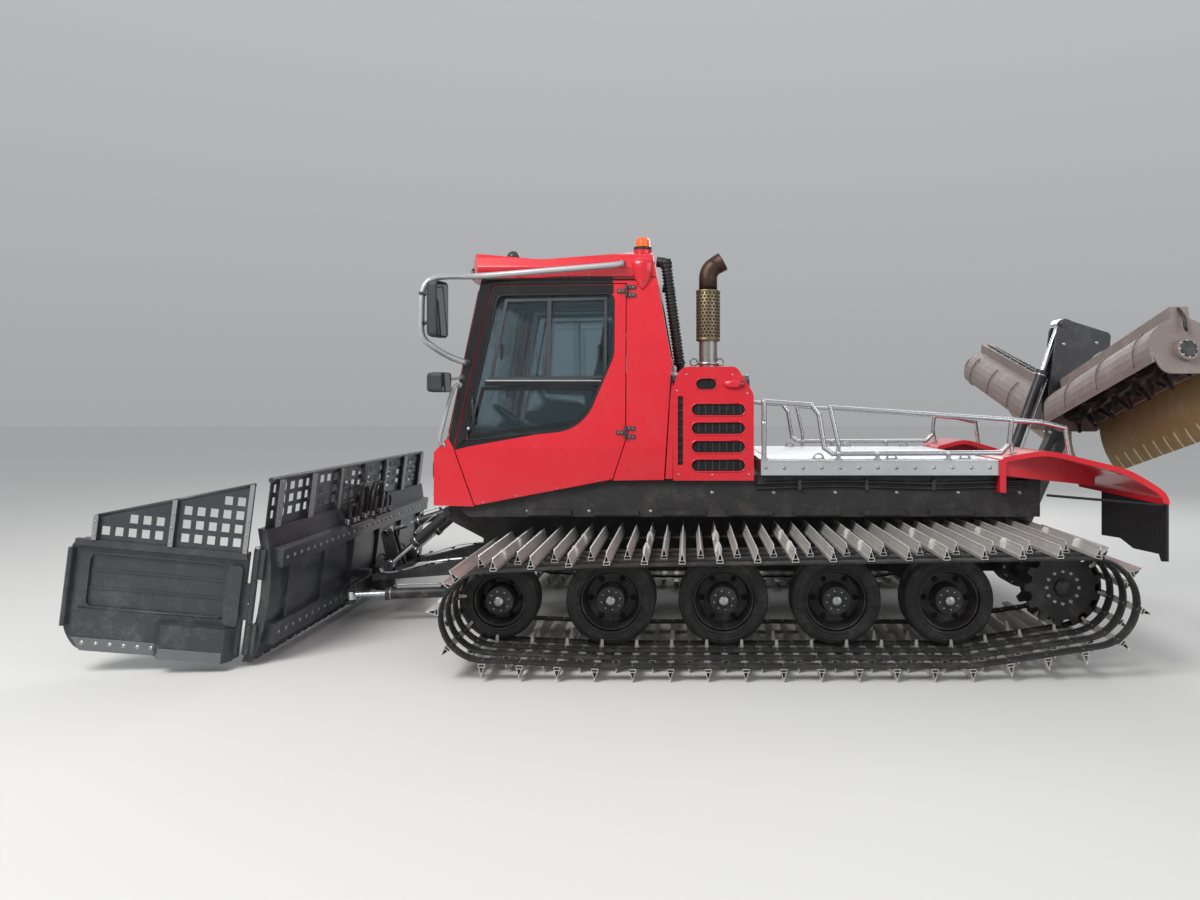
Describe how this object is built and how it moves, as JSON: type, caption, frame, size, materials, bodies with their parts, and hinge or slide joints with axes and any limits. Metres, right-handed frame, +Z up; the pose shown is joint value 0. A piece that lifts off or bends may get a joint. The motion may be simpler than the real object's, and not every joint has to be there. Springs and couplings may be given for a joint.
{
  "type": "tracked snow groomer with front blade and rear tiller",
  "caption": "Tracked snow groomer: hollow cab with hinged doors, cargo deck, all-way front blade with folding wings and a raised rear tiller.",
  "frame": {"origin": "middle of the overall length and width, on the ground under the tracks", "axes": "+X forward towards the blade, +Y the machine's left, +Z up"},
  "size_m": [7.618, 4.2, 3.0403],
  "materials": {
    "body_red": "gloss",
    "black_paint": "satin",
    "engine": "rough",
    "grouser": "satin",
    "tyre": "matt",
    "tinted_glass": "gloss",
    "trim": "matt",
    "steel": "dull",
    "deck": "satin",
    "flap": "matt",
    "beacon": "gloss",
    "blade_paint": "worn",
    "rod_chrome": "polished",
    "hood_plastic": "matt",
    "mat_plastic": "matt",
    "rotor_steel": "worn"
  },
  "bodies": {
    "chassis": {"chassis": "black_paint", "engine_block": "engine", "track_left": "grouser", "track_right": "grouser", "tyres_left": "tyre", "tyres_right": "tyre", "running_gear_left": "black_paint", "running_gear_right": "black_paint", "cab_body": "body_red", "cab_roof": "body_red", "windscreen": "tinted_glass", "rear_window": "tinted_glass", "seats": "trim", "console": "trim", "engine_hood": "black_paint", "pods": "body_red", "exhaust": "steel", "deck": "deck", "rails_left": "deck", "rails_right": "deck", "fenders": "body_red", "flaps": "flap", "mirrors": "deck", "lamps": "beacon"},
    "door_left": {"door_left": "body_red", "door_glass_left": "tinted_glass"},
    "door_right": {"door_right": "body_red", "door_glass_right": "tinted_glass"},
    "lift_frame": {"push_frame": "black_paint"},
    "lift_barrels": {"lift_barrels": "black_paint"},
    "lift_rods": {"lift_rods": "rod_chrome"},
    "top_barrel": {"top_barrel": "black_paint"},
    "top_rod": {"top_rod": "rod_chrome"},
    "yoke": {"swing_yoke": "black_paint"},
    "swing_barrel_left": {"swing_barrel_left": "black_paint"},
    "swing_barrel_right": {"swing_barrel_right": "black_paint"},
    "swing_rod_left": {"swing_rod_left": "rod_chrome"},
    "swing_rod_right": {"swing_rod_right": "rod_chrome"},
    "blade": {"blade_panel": "blade_paint", "blade_guard": "blade_paint", "hose_arches": "flap"},
    "wing_left": {"wing_left": "blade_paint", "wing_guard_left": "blade_paint"},
    "wing_right": {"wing_right": "blade_paint", "wing_guard_right": "blade_paint"},
    "rear_arm": {"rear_arm": "black_paint"},
    "hitch": {"hitch": "black_paint"},
    "link_barrel": {"link_barrel": "black_paint"},
    "link_rod": {"link_rod": "rod_chrome"},
    "tiller_left": {"hood_left": "hood_plastic", "mats_left": "mat_plastic"},
    "tiller_right": {"hood_right": "hood_plastic", "mats_right": "mat_plastic"},
    "rotor_left": {"rotor_left": "rotor_steel"},
    "rotor_right": {"rotor_right": "rotor_steel"}
  },
  "joints": [
    {"name": "door_left_hinge", "type": "hinge", "parent": "chassis", "child": "door_left", "pos_m": [0.24284, 1.066, 1.42], "axis": [0, -0.0957, 0.9954], "range_deg": [0, 75]},
    {"name": "door_right_hinge", "type": "hinge", "parent": "chassis", "child": "door_right", "pos_m": [0.24284, -1.066, 1.42], "axis": [0, -0.0957, -0.9954], "range_deg": [0, 75]},
    {"name": "blade_lift", "type": "hinge", "parent": "chassis", "child": "lift_frame", "pos_m": [1.54884, 0, 0.43], "axis": [0, -1, 0], "range_deg": [0, 25]},
    {"name": "lift_barrel_turn", "type": "hinge", "parent": "chassis", "child": "lift_barrels", "pos_m": [1.73284, 0, 0.859], "axis": [0, -1, 0], "range_deg": [-0.2, 22.02]},
    {"name": "lift_rod_slide", "type": "slide", "parent": "lift_barrels", "child": "lift_rods", "axis": [0.7553, 0, -0.6553], "range_m": [-0.2018, 0.002]},
    {"name": "top_barrel_turn", "type": "hinge", "parent": "chassis", "child": "top_barrel", "pos_m": [1.78684, 0, 0.834], "axis": [0, -1, 0], "range_deg": [-0.2, 34.89]},
    {"name": "top_rod_slide", "type": "slide", "parent": "top_barrel", "child": "top_rod", "axis": [0.9504, 0, -0.3112], "range_m": [-0.1856, 0.002]},
    {"name": "blade_swing", "type": "hinge", "parent": "lift_frame", "child": "yoke", "pos_m": [2.38884, 0, 0.24], "axis": [0, 0, 1], "range_deg": [-18, 18]},
    {"name": "swing_left_barrel_turn", "type": "hinge", "parent": "lift_frame", "child": "swing_barrel_left", "pos_m": [1.64884, 0.47, 0.23], "axis": [0, 0, 1], "range_deg": [-3.45, 3.45]},
    {"name": "swing_left_rod_slide", "type": "slide", "parent": "swing_barrel_left", "child": "swing_rod_left", "axis": [0.9871, 0.1604, 0], "range_m": [-0.184, 0.184]},
    {"name": "swing_right_barrel_turn", "type": "hinge", "parent": "lift_frame", "child": "swing_barrel_right", "pos_m": [1.64884, -0.47, 0.23], "axis": [0, 0, 1], "range_deg": [-3.45, 3.45]},
    {"name": "swing_right_rod_slide", "type": "slide", "parent": "swing_barrel_right", "child": "swing_rod_right", "axis": [0.9871, -0.1604, 0], "range_m": [-0.184, 0.184]},
    {"name": "blade_tilt", "type": "hinge", "parent": "yoke", "child": "blade", "pos_m": [2.50884, 0, 0.24], "axis": [1, 0, 0], "range_deg": [-8, 8]},
    {"name": "wing_left_fold", "type": "hinge", "parent": "blade", "child": "wing_left", "pos_m": [2.67032, 1.766, 0.42336], "axis": [-0.1219, 0, 0.9925], "range_deg": [-8, 82]},
    {"name": "wing_right_fold", "type": "hinge", "parent": "blade", "child": "wing_right", "pos_m": [2.67032, -1.766, 0.42336], "axis": [0.1219, 0, -0.9925], "range_deg": [-8, 82]},
    {"name": "rear_lift", "type": "hinge", "parent": "chassis", "child": "rear_arm", "pos_m": [-3.05116, 0, 0.64], "axis": [0, -1, 0], "range_deg": [0, 74]},
    {"name": "hitch_level", "type": "hinge", "parent": "rear_arm", "child": "hitch", "pos_m": [-3.41116, 0, 1.72], "axis": [0, -1, 0], "range_deg": [-74.5, 0.5]},
    {"name": "link_barrel_turn", "type": "hinge", "parent": "chassis", "child": "link_barrel", "pos_m": [-2.95116, 0, 1.18], "axis": [0, -1, 0], "range_deg": [-0.2, 64.54]},
    {"name": "link_rod_slide", "type": "slide", "parent": "link_barrel", "child": "link_rod", "axis": [-0.3411, 0, 0.94], "range_m": [-0.0598, 0.002]},
    {"name": "tiller_left_flex", "type": "hinge", "parent": "hitch", "child": "tiller_left", "pos_m": [-3.41116, 0.14, 1.78], "axis": [-1, 0, 0], "range_deg": [0, 14]},
    {"name": "rotor_left_spin", "type": "hinge", "parent": "tiller_left", "child": "rotor_left", "pos_m": [-3.41116, 0.03803, 1.61029], "axis": [0, 0.9703, 0.2419], "continuous": true},
    {"name": "tiller_right_flex", "type": "hinge", "parent": "hitch", "child": "tiller_right", "pos_m": [-3.41116, -0.14, 1.78], "axis": [1, 0, 0], "range_deg": [0, 14]},
    {"name": "rotor_right_spin", "type": "hinge", "parent": "tiller_right", "child": "rotor_right", "pos_m": [-3.41116, -0.03803, 1.61029], "axis": [0, -0.9703, 0.2419], "continuous": true}
  ],
  "couplings": [
    {"joint": "lift_barrel_turn", "follows": "blade_lift", "ratio": 0.8729},
    {"joint": "lift_rod_slide", "follows": "blade_lift", "m_per_rad": -0.45798},
    {"joint": "top_barrel_turn", "follows": "blade_lift", "ratio": 1.3874},
    {"joint": "top_rod_slide", "follows": "blade_lift", "m_per_rad": -0.42087},
    {"joint": "swing_left_barrel_turn", "follows": "blade_swing", "ratio": 0.1808},
    {"joint": "swing_left_rod_slide", "follows": "blade_swing", "m_per_rad": -0.57938},
    {"joint": "swing_right_barrel_turn", "follows": "blade_swing", "ratio": 0.1808},
    {"joint": "swing_right_rod_slide", "follows": "blade_swing", "m_per_rad": 0.57938},
    {"joint": "hitch_level", "follows": "rear_lift", "ratio": -1},
    {"joint": "link_barrel_turn", "follows": "rear_lift", "ratio": 0.8694},
    {"joint": "link_rod_slide", "follows": "rear_lift", "m_per_rad": -0.04474}
  ]
}
